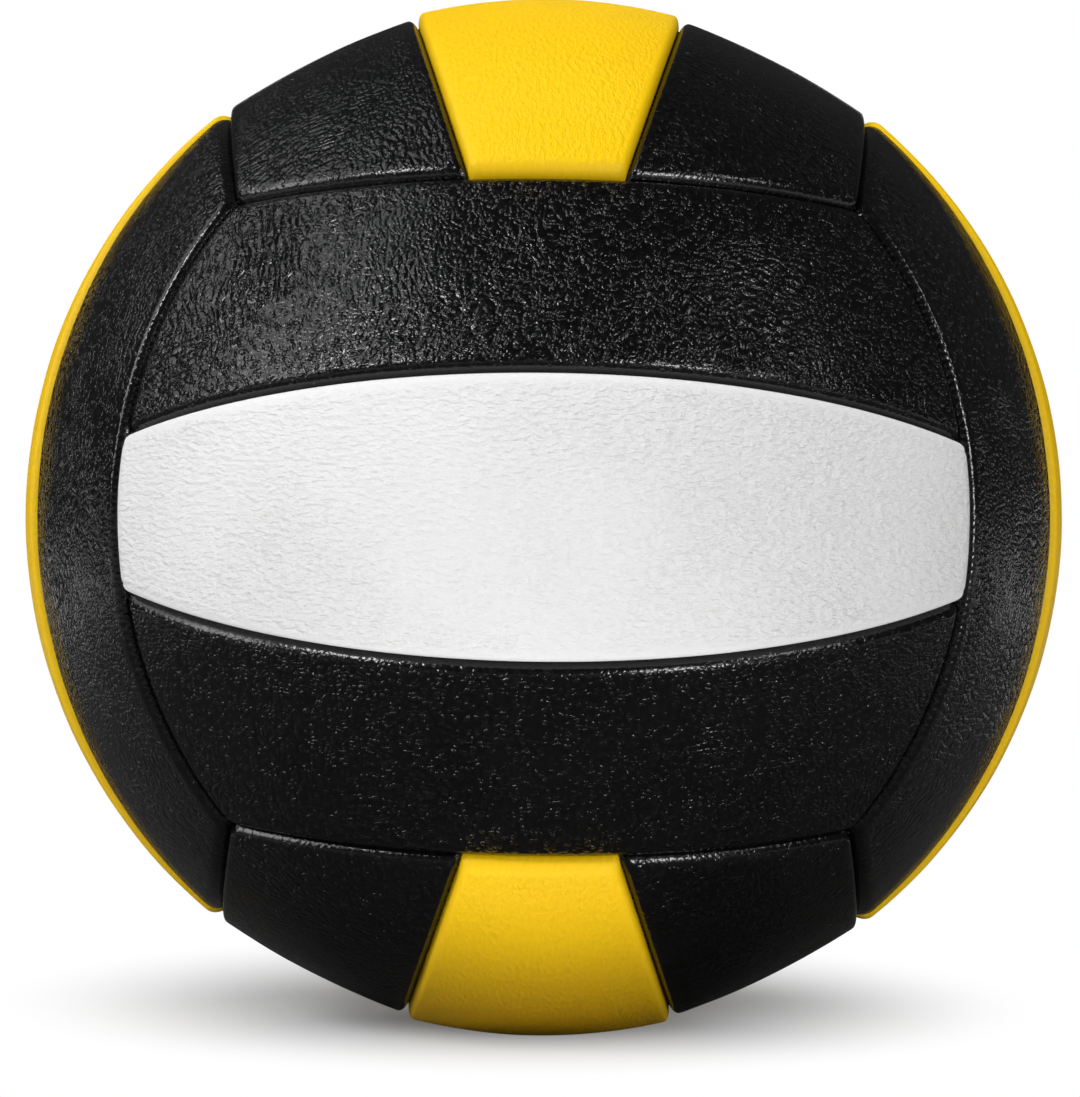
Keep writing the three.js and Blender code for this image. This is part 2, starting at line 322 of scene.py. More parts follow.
# Plain-woven cloth, unbleached. Its threads are 0.4 mm apart, and are drawn 1.2 mm apart so that they show.
cloth, cloth_tree = new_material("plain_woven_cloth")
cloth_place = add_node(cloth_tree, "ShaderNodeTexCoord")["Object"]
threads = []
for axis in ("X", "Z"):
    wave_links = {"Vector": cloth_place, "Scale": 1 / (thread_spacing * MM) / wave_length_at_scale_1}
    threads.append(add_node(cloth_tree, "ShaderNodeTexWave", wave_links, bands_direction=axis)["Fac"])
weave = add_node(cloth_tree, "ShaderNodeMath", threads, operation="MAXIMUM")[0]
give_surface(cloth_tree, ("#bdb7a6", "#e4e0d4"), weave, weave, weave_relief, Roughness=0.9, Sheen_Weight=0.2)

lining_piece = turned_piece("gored_lining", shell_profile(lining_radius, lining_thickness), cloth)
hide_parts("cloth_lining")
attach(lining_piece, "root")


# Foam pads
# Closed-cell foam, 5 mm thick, one pad under the skin of each of the 18 panels. It is what makes the panels
# soft and gives them their crown, and it lies straight on the lining.

ball_radius = 105.0
inner_seam_angle = math.radians(15)
edge_seam_angle = math.radians(38.3)
inner_seam_end_share = 0.248
seam_half_gap = 0.06
seam_depth = 3.1
skin_thickness = 1.2
laminate_clearance = 0.3
cover_floor_radius = 98.5
rest_height = -104.5
roll_steepness = 0.94
hill_spacing = 20.0
hill_detail = 1.5
dip_sharpness = 4
foam_rows = (44, 14)
foam_edge_rows = [0, 0.8, 1.8]
foam_cell = 0.71
foam_relief = 0.1
cube_corner = 1 / math.sqrt(3)

# Each face of the ball: which way its strips run, which way it faces, and its three strips.
ball_faces = {
    "front": ((1, 0, 0), (0, -1, 0), ("lower", "middle", "upper")),
    "back": ((-1, 0, 0), (0, 1, 0), ("lower", "middle", "upper")),
    "right": ((0, 0, 1), (1, 0, 0), ("back", "middle", "front")),
    "left": ((0, 0, 1), (-1, 0, 0), ("front", "middle", "back")),
    "top": ((0, 1, 0), (0, 0, 1), ("right", "middle", "left")),
    "bottom": ((0, 1, 0), (0, 0, -1), ("left", "middle", "right")),
}
# The four seams along a face, as (angle from its middle, height of their ends) on a ball of radius 1.
inner_seam = (inner_seam_angle, cube_corner * inner_seam_end_share)
edge_seam = (edge_seam_angle, cube_corner)
low_seams = [(-angle, -height) for angle, height in (edge_seam, inner_seam)]
face_seams = [*low_seams, inner_seam, edge_seam]
# How far each kind of strip lies below the ball: all over, in its middle, and at its ends. Then how wide the
# rolls at its sides and its ends are.
panel_forms = {
    "white": {"Sink": 0.0, "Flattening": 0.1, "End dip": 0.35, "Side roll": 1.5, "End roll": 2.5},
    "yellow": {"Sink": 0.0, "Flattening": 0.1, "End dip": 0.35, "Side roll": 1.8, "End roll": 3.0},
    "black by white": {"Sink": 0.95, "Flattening": 0.7, "End dip": 0.1, "Side roll": 3.2, "End roll": 3.5},
    "black by yellow": {"Sink": 0.75, "Flattening": 0.8, "End dip": 0.1, "Side roll": 1.8, "End roll": 3.5},
}
corner_roundings = {"white": 3.2, "yellow": 1.0, "black by white": 1.4, "black by yellow": 1.4}


def panel_kind(face_name, strip):
    middle = "white" if face_name in ("front", "back") else "yellow"
    return middle if strip == 1 else f"black by {middle}"


def chord(first, second):
    """The line through two points in a plane: its direction, its nearest point to the centre, and the radius
    of the circle that the plane through it cuts from a ball of radius 1."""
    along = (second - first) / np.linalg.norm(second - first, axis=-1, keepdims=True)
    normal = np.stack([-along[..., 1], along[..., 0]], -1)
    distance = (normal * first).sum(-1)
    return along, normal * distance[..., None], np.sqrt(1 - distance**2)


def line_points(seam, share):
    """Directions at those shares of the way along a lengthwise line, and the line's length in millimetres."""
    angle, height = seam
    end_along, end_foot, _ = chord(
        np.array([cube_corner, cube_corner]), np.array([math.cos(edge_seam_angle), math.sin(edge_seam_angle)])
    )
    reach = np.sqrt(1 - height**2 - end_foot @ end_foot)
    end_x, end_z = end_foot[0] + end_along[0] * reach, end_foot[1] + end_along[1] * reach
    first = np.stack([height, end_z], -1)
    along, foot, radius = chord(first, np.stack([np.sin(angle), np.cos(angle)], -1))
    end_angle = np.arctan2(end_x, ((first - foot) * along).sum(-1))
    turn = (2 * share - 1) * end_angle
    at = foot + along * (radius * np.cos(turn))[..., None]
    return np.stack([radius * np.sin(turn), at[..., 0], at[..., 1]], -1), 2 * end_angle * radius * ball_radius


def between(strip, share):
    """The lengthwise line at a share of the way across a strip."""
    (low_angle, low_height), (high_angle, high_height) = face_seams[strip], face_seams[strip + 1]
    return low_angle + (high_angle - low_angle) * share, low_height + (high_height - low_height) * share


def spaced_rows(total, inset, edge_rows, count):
    """Distances over a strip: close together over its shoulders, and evenly spaced between them."""
    near = inset + np.array(edge_rows)
    steps = np.linspace(0, 1, count + 2)[1:-1]
    middle = near[-1] + (total - 2 * near[-1])[..., None] * steps
    wide = np.broadcast_to(near, (*total.shape, len(near)))
    return np.concatenate([wide, middle, total[..., None] - wide[..., ::-1]], -1)


def strip_grid(strip, kind, inset, edge_rows, counts):
    """A grid of directions over one strip with rounded corners, and where each point is on the strip."""
    half_way = np.array(0.5)
    _, middle_length = line_points(between(strip, half_way), half_way)
    rough_along = spaced_rows(np.array(middle_length), inset, edge_rows, counts[0]) / middle_length
    low, _ = line_points(between(strip, np.zeros_like(rough_along)), rough_along)
    high, _ = line_points(between(strip, np.ones_like(rough_along)), rough_along)
    width = np.arccos(np.clip((low * high).sum(-1), -1, 1)) * ball_radius
    across = spaced_rows(width, inset, edge_rows, counts[1])
    width = np.broadcast_to(width[:, None], across.shape)
    _, length = line_points(between(strip, across / width), half_way)
    along_rows = spaced_rows(length, inset, edge_rows, counts[0])
    along = np.take_along_axis(along_rows, np.arange(len(across))[:, None, None], -1)[..., 0]
    # Points in a corner move in onto its rounding.
    side = np.minimum(across, width - across) - inset
    end = np.minimum(along, length - along) - inset
    short_side, short_end = (np.clip(corner_roundings[kind] - x, 0, None) for x in (side, end))
    diagonal = np.hypot(short_side, short_end)
    in_corner = (short_side > 0) & (short_end > 0)
    scale = np.where(in_corner, np.maximum(short_side, short_end) / np.where(in_corner, diagonal, 1), 1)
    across = across + np.sign(width / 2 - across) * short_side * (1 - scale)
    along = along + np.sign(length / 2 - along) * short_end * (1 - scale)
    directions, _ = line_points(between(strip, across / width), along / length)
    endness = np.abs(2 * along / length - 1) ** dip_sharpness
    return {
        "direction": directions,
        "endness": endness,
        "middleness": (1 - (2 * across / width - 1) ** 2) * (1 - endness),
        "side_mm": side,
        "end_mm": end,
        "strip_mm": np.stack([along - length / 2, across - width / 2, np.zeros_like(along)], -1),
    }


def border(rows, columns, start=0):
    """The numbers of a grid's outermost points, in order round it."""
    grid = start + np.arange(rows * columns).reshape(rows, columns)
    return [*grid[:, 0], *grid[-1, 1:-1], *grid[::-1, -1], *grid[0, -2:0:-1]]


def grid_faces(rows, columns, start=0, flip=False):
    grid = start + np.arange(rows * columns).reshape(rows, columns)
    faces = np.stack([grid[:-1, :-1], grid[1:, :-1], grid[1:, 1:], grid[:-1, 1:]], -1).reshape(-1, 4)
    return (faces[:, ::-1] if flip else faces).tolist()


def wall_faces(top, foot):
    pairs = zip(top, top[1:] + top[:1], foot, foot[1:] + foot[:1])
    return [[a, c, d, b] for a, b, c, d in pairs]


def laid_grids(parts):
    """Several grids as one set of points, each with its depth below the face of the skin and, where it isn't
    shaped with the panel, its own radius."""
    fields = {}
    for grid, depth, radius in parts:
        count = grid["side_mm"].size
        grid = {name: values.reshape(count, -1) for name, values in grid.items()}
        grid["depth_mm"] = np.full((count, 1), float(depth))
        grid["fixed_radius_mm"] = np.full((count, 1), float(radius))
        for name, values in grid.items():
            fields.setdefault(name, []).append(values)
    return {name: np.concatenate(values) for name, values in fields.items()}


def face_turn(along, out):
    return np.stack([along, np.cross(out, along), out], -1).astype(float)


def flat_pattern(name, turn, fields, faces):
    """The panel before it is formed: points on a ball of radius 1 that carry their place on the strip."""
    pattern = plain_piece(name, fields["direction"] @ turn.T, faces)
    for field, values in fields.items():
        if field == "direction":
            continue
        kind, key = ("FLOAT_VECTOR", "vector") if values.shape[1] == 3 else ("FLOAT", "value")
        pattern.data.attributes.new(field, kind, "POINT").data.foreach_set(key, values.ravel())
    return pattern


def new_tree(name, sizes):
    """A tree for a modifier, with an input for each size, the seed and the material."""
    tree = bpy.data.node_groups.new(name, "GeometryNodeTree")
    inputs = {"Geometry": "Geometry", **dict.fromkeys(sizes, "Float"), "Seed": "Int", "Material": "Material"}
    for socket, kind in inputs.items():
        tree.interface.new_socket(socket, in_out="INPUT", socket_type="NodeSocket" + kind)
    tree.interface.new_socket("Geometry", in_out="OUTPUT", socket_type="NodeSocketGeometry")
    return tree, partial(add_node, tree)


def rolled_edge_group():
    """How much of its height an edge keeps at a distance from the seam: 0 at the seam, and 1 on the panel."""
    group = bpy.data.node_groups.new("rolled_edge", "GeometryNodeTree")
    add = partial(add_node, group)
    for name in ("Distance", "Width", "Steepness"):
        group.interface.new_socket(name, in_out="INPUT", socket_type="NodeSocketFloat")
    group.interface.new_socket("Kept", in_out="OUTPUT", socket_type="NodeSocketFloat")
    given = add("NodeGroupInput")
    share = add("ShaderNodeMath", (given["Distance"], given["Width"]), operation="DIVIDE")[0]
    left = add("ShaderNodeMath", (1.0, share), operation="SUBTRACT", use_clamp=True)[0]
    lean = add("ShaderNodeMath", (left, given["Steepness"]), operation="MULTIPLY")[0]
    heights = []
    for sine in (lean, given["Steepness"]):
        angle = add("ShaderNodeMath", (sine,), operation="ARCSINE")[0]
        heights.append(add("ShaderNodeMath", (angle,), operation="COSINE")[0])
    above_foot = add("ShaderNodeMath", heights, operation="SUBTRACT")[0]
    whole = add("ShaderNodeMath", (1.0, heights[1]), operation="SUBTRACT")[0]
    kept = add("ShaderNodeMath", (above_foot, whole), operation="DIVIDE")[0]
    add("NodeGroupOutput", {"Kept": kept})
    return group


def padded_panel_tree():
    """Forms a flat pattern into a padded panel: lowered, flattened, dipped at its ends, slightly uneven,
    rolled down to the seams, and pressed flat where the ball rests."""
    sizes = ["Ball radius", "Seam depth", "Rest height", "Sink", "Flattening", "End dip"]
    sizes += ["Side roll", "End roll", "Steepness", "Unevenness", "Uneven spacing"]
    tree, add = new_tree("padded_panel", sizes)
    given = add("NodeGroupInput")
    field = {}
    for name in ("middleness", "endness", "side_mm", "end_mm", "depth_mm", "fixed_radius_mm"):
        field[name] = add("GeometryNodeInputNamedAttribute", {"Name": name}, data_type="FLOAT")[0]
    strip_links = {"Name": "strip_mm"}
    strip_place = add("GeometryNodeInputNamedAttribute", strip_links, data_type="FLOAT_VECTOR")[0]

    # The crown is how high the panel stands over the foot of its seams.
    flattened = (given["Flattening"], field["middleness"], given["Sink"])
    lowered = add("ShaderNodeMath", flattened, operation="MULTIPLY_ADD")[0]
    dipped = (given["End dip"], field["endness"], lowered)
    lowered = add("ShaderNodeMath", dipped, operation="MULTIPLY_ADD")[0]
    crown = add("ShaderNodeMath", (given["Seam depth"], lowered), operation="SUBTRACT")[0]
    scale = add("ShaderNodeMath", (1.0, given["Uneven spacing"]), operation="DIVIDE")[0]
    hill_links = {"Vector": strip_place, "W": given["Seed"], "Scale": scale, "Detail": hill_detail}
    hills = add("ShaderNodeTexNoise", hill_links, noise_dimensions="4D")[0]
    hills = add("ShaderNodeMath", (hills, 0.5), operation="SUBTRACT")[0]
    crown = add("ShaderNodeMath", (hills, given["Unevenness"], crown), operation="MULTIPLY_ADD")[0]

    rolled_edge = rolled_edge_group()
    kept = []
    for distance, width in ((field["side_mm"], given["Side roll"]), (field["end_mm"], given["End roll"])):
        roll_links = {"Distance": distance, "Width": width, "Steepness": given["Steepness"]}
        kept.append(add("GeometryNodeGroup", roll_links, node_tree=rolled_edge)[0])
    kept = add("ShaderNodeMath", kept, operation="MULTIPLY")[0]
    valley = add("ShaderNodeMath", (given["Ball radius"], given["Seam depth"]), operation="SUBTRACT")[0]
    level = add("ShaderNodeMath", (crown, kept, valley), operation="MULTIPLY_ADD")[0]
    level = add("ShaderNodeMath", (level, field["depth_mm"]), operation="SUBTRACT")[0]

    fixed = field["fixed_radius_mm"]
    is_fixed = add("FunctionNodeCompare", (fixed, 0.0), operation="GREATER_THAN")[0]
    radius_links = {"Switch": is_fixed, "False": level, "True": fixed}
    radius = add("GeometryNodeSwitch", radius_links, input_type="FLOAT")[0]
    metres = add("ShaderNodeMath", (radius, MM), operation="MULTIPLY")[0]
    place = add("GeometryNodeInputPosition")[0]
    outward = add("ShaderNodeVectorMath", (place,), operation="NORMALIZE")[0]
    place = add("ShaderNodeVectorMath", {0: outward, "Scale": metres}, operation="SCALE")[0]
    x, y, z = add("ShaderNodeSeparateXYZ", (place,))
    ground = add("ShaderNodeMath", (given["Rest height"], MM), operation="MULTIPLY")[0]
    rested_z = add("ShaderNodeMath", (z, ground), operation="MAXIMUM")[0]
    rested = add("ShaderNodeCombineXYZ", (x, y, rested_z))[0]
    formed_links = {"Geometry": given["Geometry"], "Position": rested}
    formed_panel = add("GeometryNodeSetPosition", formed_links)[0]
    real = add("GeometryNodeRealizeInstances", (formed_panel,))[0]
    clothed = add("GeometryNodeSetMaterial", {"Geometry": real, "Material": given["Material"]})[0]
    add("NodeGroupOutput", {"Geometry": clothed})
    return tree


def bake(piece):
    """Turns a piece with its modifiers into a plain mesh."""
    shape = bpy.data.meshes.new_from_object(piece.evaluated_get(bpy.context.evaluated_depsgraph_get()))
    piece.modifiers.clear()
    piece.data = shape


def form(pattern, tree, inputs):
    """Gives a pattern the form that the tree makes of it."""
    modifier = pattern.modifiers.new("form", "NODES")
    modifier.node_group = tree
    for item in tree.interface.items_tree:
        if item.in_out == "INPUT" and item.name in inputs:
            modifier[item.identifier] = inputs[item.name]
    bake(pattern)
    pattern.data.polygons.foreach_set("use_smooth", [True] * len(pattern.data.polygons))


# Polyethylene foam, closed-cell, split from a block: off-white and matt, with small cut cells all over.
foam, foam_tree = new_material("closed_cell_foam")
foam_place = add_node(foam_tree, "ShaderNodeTexCoord")["Object"]
cell_links = {"Vector": foam_place, "Scale": 1 / (foam_cell * MM)}
cells = add_node(foam_tree, "ShaderNodeTexVoronoi", cell_links)[0]
give_surface(
    foam_tree, ("#d8d8d2", "#b9b9b2"), cells, cells, foam_relief,
    Roughness=0.9, Subsurface_Weight=0.05, Subsurface_Radius=(0.002, 0.002, 0.002),
)

panel_tree = padded_panel_tree()
panel_inputs = {
    "Ball radius": ball_radius,
    "Seam depth": seam_depth,
    "Steepness": roll_steepness,
    "Unevenness": 0.0,
    "Uneven spacing": hill_spacing,
    "Rest height": rest_height,
}
foam_depth = skin_thickness + laminate_clearance
for face_name, (run, out, strip_names) in ball_faces.items():
    for strip, strip_name in enumerate(strip_names):
        kind = panel_kind(face_name, strip)
        grid = strip_grid(strip, kind, seam_half_gap + foam_depth, foam_edge_rows, foam_rows)
        rows, columns = grid["side_mm"].shape
        size = rows * columns
        fields = laid_grids([(grid, foam_depth, 0), (grid, 0, cover_floor_radius)])
        faces = grid_faces(rows, columns)
        faces += grid_faces(rows, columns, size, flip=True)
        faces += wall_faces(border(rows, columns), border(rows, columns, size))
        pad = flat_pattern(f"{face_name}_{strip_name}_pad", face_turn(run, out), fields, faces)
        inputs = {**panel_inputs, **panel_forms[kind], "Rest height": rest_height + skin_thickness}
        form(pad, panel_tree, {**inputs, "Material": foam})
        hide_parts(f"{face_name}_{strip_name}_foam")
        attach(pad, "root")


# Cover skins
# Microfibre synthetic leather, 1.2 mm thick, laminated on the foam pads. The edges of each skin are turned in
# and sewn to its neighbours, so it rolls down into the seams. Black, yellow and white.

skin_edge_radius = 99.4
skin_rows = (250, 72)
skin_edge_rows = [0, 0.1, 0.2, 0.32, 0.45, 0.6, 0.75, 0.95, 1.2, 1.5, 1.9, 2.4, 3.0, 3.7]
skin_inside_rows = (40, 10)
skin_inside_edge_rows = [0, 1.0, 2.5]
skin_unevenness = 0.35
stitch_spacing = 1.6
valve_hole_radius = 4.9
valve_hole_sides = 64
punch_reach = (80, 110)

# Pebbles: how far apart they are, the share of that at which one ends, how tall the low and the tall ones
# are, and how rare the tall ones. Ripples: how they are stretched along the strip.
pebble_spacing = 0.95
pebble_end = 0.58
low_pebble, tall_pebble, tall_rarity = 0.35, 4.0, 3.0
ripple_stretch = (0.5, 1, 1)
ripple_detail = 2
fine_in_grain = 0.08
fine_height = 0.02
# Towards the seams the grain is pressed flat, and the creases end: the two distances, and what is left.
grain_flattening = (1.0, 3.5, 0.12)
crease_ending = (1.6, 4.0)
crease_spacing = 1.7
crease_width_share = 0.5
crease_stretches = ((0.42, 1, 1), (1, 0.38, 1))
pucker_height = 0.03
pucker_reach = 1.2
pucker_wander = 9
# How much the clouds, the grain and the creases change the tone, and the finest grain the roughness. The
# grain and the creases make it darker in their hollows, as painted shade.
cloud_in_tone, grain_painted_shade, crease_painted_shade = 0.4, 0.6, -2
roughness_spread = (-0.05, 0.08)
# Slow and fine noises over the hide: how far apart their clouds lie, and their detail.
hide_noises = {
    "pebble wander": (4, 2),
    "crease wander": (14, 2),
    "pucker wander": (3, 1),
    "fine grain": (0.3, 3),
    "tone": (25, 4),
    "grain": (40, 1.5),
    "crease run": (35, 1.5),
    "creases": (22, 1.5),
}
wander_reach = {"pebble wander": 3, "crease wander": 9}
# Where the hide has less of a pattern: the two levels of its noise, and the least that is left.
hide_masks = {"grain": (0.4, 0.6, 0.6), "crease run": (0.42, 0.58, 0), "creases": (0.4, 0.6, 0.2)}


def ring_faces(points, outer, inner):
    """The ring between two loops that start side by side, always taking the shorter way to the next point."""
    faces, i, j = [], 0, 0
    while i < len(outer) or j < len(inner):
        here, there = outer[i % len(outer)], inner[j % len(inner)]
        next_outer, next_inner = outer[(i + 1) % len(outer)], inner[(j + 1) % len(inner)]
        outer_way = np.linalg.norm(points[next_outer] - points[there])
        inner_way = np.linalg.norm(points[next_inner] - points[here])
        if j == len(inner) or (i < len(outer) and outer_way < inner_way):
            faces.append([here, next_outer, there])
            i += 1
        else:
            faces.append([here, next_inner, there])
            j += 1
    return faces


def rim_of(grid):
    rows, columns = grid["side_mm"].shape
    order = np.array(border(rows, columns))
    return {name: values.reshape(rows * columns, -1)[order] for name, values in grid.items()}


def tray(strip, kind):
    """A skin's pattern: its face, its turned-in edges down to the rim, and its inside."""
    outer = strip_grid(strip, kind, seam_half_gap, skin_edge_rows, skin_rows)
    inner = strip_grid(strip, kind, seam_half_gap + skin_thickness, skin_inside_edge_rows, skin_inside_rows)
    parts = [(outer, 0, 0), (rim_of(outer), 0, skin_edge_radius)]
    parts += [(rim_of(inner), 0, skin_edge_radius), (inner, skin_thickness, 0)]
    fields = laid_grids(parts)
    starts = np.cumsum([0] + [part[0]["side_mm"].size for part in parts]).tolist()
    outer_border = border(*outer["side_mm"].shape)
    outer_rim = list(range(starts[1], starts[2]))
    inner_rim = list(range(starts[2], starts[3]))
    inner_border = border(*inner["side_mm"].shape, start=starts[3])
    faces = grid_faces(*outer["side_mm"].shape)
    faces += wall_faces(outer_border, outer_rim)
    faces += [face[::-1] for face in ring_faces(fields["direction"], outer_rim, inner_rim)]
    faces += [face[::-1] for face in wall_faces(inner_border, inner_rim)]
    faces += grid_faces(*inner["side_mm"].shape, start=starts[3], flip=True)
    return fields, faces


def leather(name, tones, roughness, specular, grain_height, crease_height, soft=False):
    """Synthetic leather with a grain, meandering creases, and small puckers along the stitching. The grain is
    pebbles, or low ripples on a soft one."""
    material, tree = new_material(name)
    add = partial(add_node, tree)

    def weighted_sum(*parts):
        total = 0.0
        for part, weight in parts:
            total = add("ShaderNodeMath", (part, weight, total), operation="MULTIPLY_ADD")[0]
        return total

    strip_place = add("ShaderNodeAttribute", attribute_name="strip_mm")["Vector"]
    side = add("ShaderNodeAttribute", attribute_name="side_mm")["Fac"]
    end = add("ShaderNodeAttribute", attribute_name="end_mm")["Fac"]
    edge = add("ShaderNodeMath", (side, end), operation="MINIMUM")[0]
    object_place = add("ShaderNodeTexCoord")["Object"]
    skin_place = add("ShaderNodeVectorMath", {0: object_place, "Scale": 1 / MM}, operation="SCALE")[0]
    noises = {}
    for use, (spacing, detail) in hide_noises.items():
        noise_links = {"Vector": skin_place, "Scale": 1 / spacing, "Detail": detail}
        noises[use] = add("ShaderNodeTexNoise", noise_links)
    wandering = {}
    for use, reach in wander_reach.items():
        links = (noises[use][1], (reach, reach, 0), strip_place)
        wandering[use] = add("ShaderNodeVectorMath", links, operation="MULTIPLY_ADD")[0]
    masks = {}
    for use, (low, high, least) in hide_masks.items():
        masks[use] = add("ShaderNodeMapRange", {0: noises[use][0], 1: low, 2: high, 3: least})[0]
    fine = noises["fine grain"][0]

    # Ripples, or round pebbles that fall to 0 between them, cover the whole skin. Most pebbles are low, and a
    # few stand tall and catch the light. Between them lies finer grain, drawn 0.3 mm apart.
    if soft:
        place = add("ShaderNodeVectorMath", (strip_place, ripple_stretch), operation="MULTIPLY")[0]
        ripple_links = {"Vector": place, "Scale": 1 / pebble_spacing, "Detail": ripple_detail}
        pattern = add("ShaderNodeTexNoise", ripple_links)[0]
    else:
        cell_links = {"Vector": wandering["pebble wander"], "Scale": 1 / pebble_spacing}
        cells = add("ShaderNodeTexVoronoi", cell_links, feature="F1", voronoi_dimensions="2D")
        fallen = add("ShaderNodeMath", (cells["Distance"], pebble_end), operation="DIVIDE", use_clamp=True)[0]
        fallen = add("ShaderNodeMath", (fallen, 2.0), operation="POWER")[0]
        dome = add("ShaderNodeMath", (1.0, fallen), operation="SUBTRACT")[0]
        chance = add("ShaderNodeMath", (cells["Color"], tall_rarity), operation="POWER")[0]
        tallness = add("ShaderNodeMath", (chance, tall_pebble, low_pebble), operation="MULTIPLY_ADD")[0]
        pattern = add("ShaderNodeMath", (dome, tallness), operation="MULTIPLY")[0]
    near, far, least = grain_flattening
    flatness_links = {0: edge, 1: near, 2: far, 3: least}
    flatness = add("ShaderNodeMapRange", flatness_links, interpolation_type="SMOOTHSTEP")[0]
    grain = weighted_sum((pattern, 1.0), (fine, fine_in_grain))
    for share in (masks["grain"], flatness):
        grain = add("ShaderNodeMath", (grain, share), operation="MULTIPLY")[0]

    # Creases run along the strip in some places and across it in others, 1 in their middle and 0 beside them.
    runs = []
    for stretch in crease_stretches:
        links = (wandering["crease wander"], stretch)
        place = add("ShaderNodeVectorMath", links, operation="MULTIPLY")[0]
        links = {"Vector": place, "Scale": 1 / crease_spacing}
        cells = add("ShaderNodeTexVoronoi", links, feature="DISTANCE_TO_EDGE", voronoi_dimensions="2D")
        share = add("ShaderNodeMath", (cells[0], crease_width_share), operation="DIVIDE")[0]
        fallen = add("ShaderNodeMath", (1.0, share), operation="SUBTRACT", use_clamp=True)[0]
        runs.append(add("ShaderNodeMath", (fallen, 2.0), operation="POWER")[0])
    crease = add("ShaderNodeMix", {0: masks["crease run"], 2: runs[0], 3: runs[1]})[0]
    near, far = crease_ending
    on_face = add("ShaderNodeMapRange", {0: edge, 1: near, 2: far}, interpolation_type="SMOOTHSTEP")[0]
    for share in (masks["creases"], on_face):
        crease = add("ShaderNodeMath", (crease, share), operation="MULTIPLY")[0]

    # Between the stitches the turned edge puckers.
    along, across, _ = add("ShaderNodeSeparateXYZ", (strip_place,))
    pucker = []
    stitch_turn = 2 * math.pi / stitch_spacing
    for run_mm, from_seam in ((along, side), (across, end)):
        turn = weighted_sum((noises["pucker wander"][0], pucker_wander), (run_mm, stitch_turn))
        wave = add("ShaderNodeMath", (turn,), operation="SINE")[0]
        reach = add("ShaderNodeMath", (from_seam, -1 / pucker_reach), operation="MULTIPLY")[0]
        fading = add("ShaderNodeMath", (reach,), operation="EXPONENT")[0]
        pucker.append(add("ShaderNodeMath", (wave, fading), operation="MULTIPLY")[0])
    pucker = add("ShaderNodeMath", pucker, operation="ADD")[0]
    relief = weighted_sum(
        (grain, grain_height),
        (crease, -crease_height),
        (pucker, pucker_height),
        (fine, fine_height),
    )

    # Painted shade darkens the colour where the grain is low and in the creases. The colour also varies a
    # little over the hide.
    tone = weighted_sum(
        (pattern, grain_painted_shade),
        (noises["tone"][0], cloud_in_tone),
        (crease, crease_painted_shade * crease_height),
    )
    smooth, rough = (roughness + spread for spread in roughness_spread)
    worn = add("ShaderNodeMapRange", {0: fine, 3: smooth, 4: rough})[0]
    give_surface(tree, tones, tone, relief, 1, Roughness=worn, IOR=1.5, Specular_IOR_Level=specular)
    return material


# Microfibre leather with a polyurethane skin, embossed and tumbled. Black is glossy, and its tall pebbles and
# creases glint.
black_leather = leather(
    "black_microfibre_leather", ("#020203", "#0e0e10"),
    roughness=0.17, specular=0.55, grain_height=0.17, crease_height=0.26,
)
# White and yellow are the same leather with a duller skin and low ripples, and look almost smooth.
white_leather = leather(
    "white_microfibre_leather", ("#e0e0e0", "#efefef"),
    roughness=0.5, specular=0.3, grain_height=1.2, crease_height=0.0, soft=True,
)
yellow_leather = leather(
    "yellow_microfibre_leather", ("#f0bb00", "#fdd306"),
    roughness=0.5, specular=0.3, grain_height=0.6, crease_height=0.04, soft=True,
)


def punch_valve_hole(piece):
    """Punches the hole for the valve through a skin."""
    angles = np.linspace(0, 2 * math.pi, valve_hole_sides, endpoint=False)
    circle = [(valve_hole_radius * math.cos(a), valve_hole_radius * math.sin(a)) for a in angles]
    points = np.array([(x, y, z) for y in punch_reach for x, z in circle]) * MM
    low = list(range(valve_hole_sides))
    high = [i + valve_hole_sides for i in low]
    punch = plain_piece("punch", points, [low[::-1], high, *wall_faces(high, low)])
    cut = piece.modifiers.new("punch", "BOOLEAN")
    cut.operation = "DIFFERENCE"
    cut.solver = "EXACT"
    cut.object = punch
    bake(piece)
    bpy.data.objects.remove(punch)


black_kinds = ("black by white", "black by yellow")
trays = {(strip, kind): tray(strip, kind) for strip in (0, 2) for kind in black_kinds}
trays.update({(1, kind): tray(1, kind) for kind in ("white", "yellow")})
skins = {
    "black by white": ("black_leather", black_leather),
    "black by yellow": ("black_leather", black_leather),
    "white": ("white_leather", white_leather),
    "yellow": ("yellow_leather", yellow_leather),
}
for face_number, (face_name, (run, out, strip_names)) in enumerate(ball_faces.items()):
    for strip, strip_name in enumerate(strip_names):
        kind = panel_kind(face_name, strip)
        slot_name, skin_material = skins[kind]
        skin = flat_pattern(f"{face_name}_{strip_name}_panel", face_turn(run, out), *trays[strip, kind])
        inputs = {
            **panel_inputs,
            **panel_forms[kind],
            "Unevenness": skin_unevenness,
            "Seed": face_number * 3 + strip,
            "Material": skin_material,
        }
        form(skin, panel_tree, inputs)
        if (face_name, strip_name) == ("back", "middle"):
            punch_valve_hole(skin)
        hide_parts(f"{face_name}_{strip_name}_skin")
        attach(skin, "root")


# Stitching
# Bonded black thread, a third of a millimetre thick, sewn from inside through the turned edges of the skins.
# Each stitch shows as a short bar across the bottom of the seam.

thread_radius = 0.17
stitch_length = 0.7
stitch_sides = 8
stitch_rings = 6
stitch_variation = (0.85, 1.15)
stitch_seed = 4
seam_points = 200
strand_spacing = 0.25


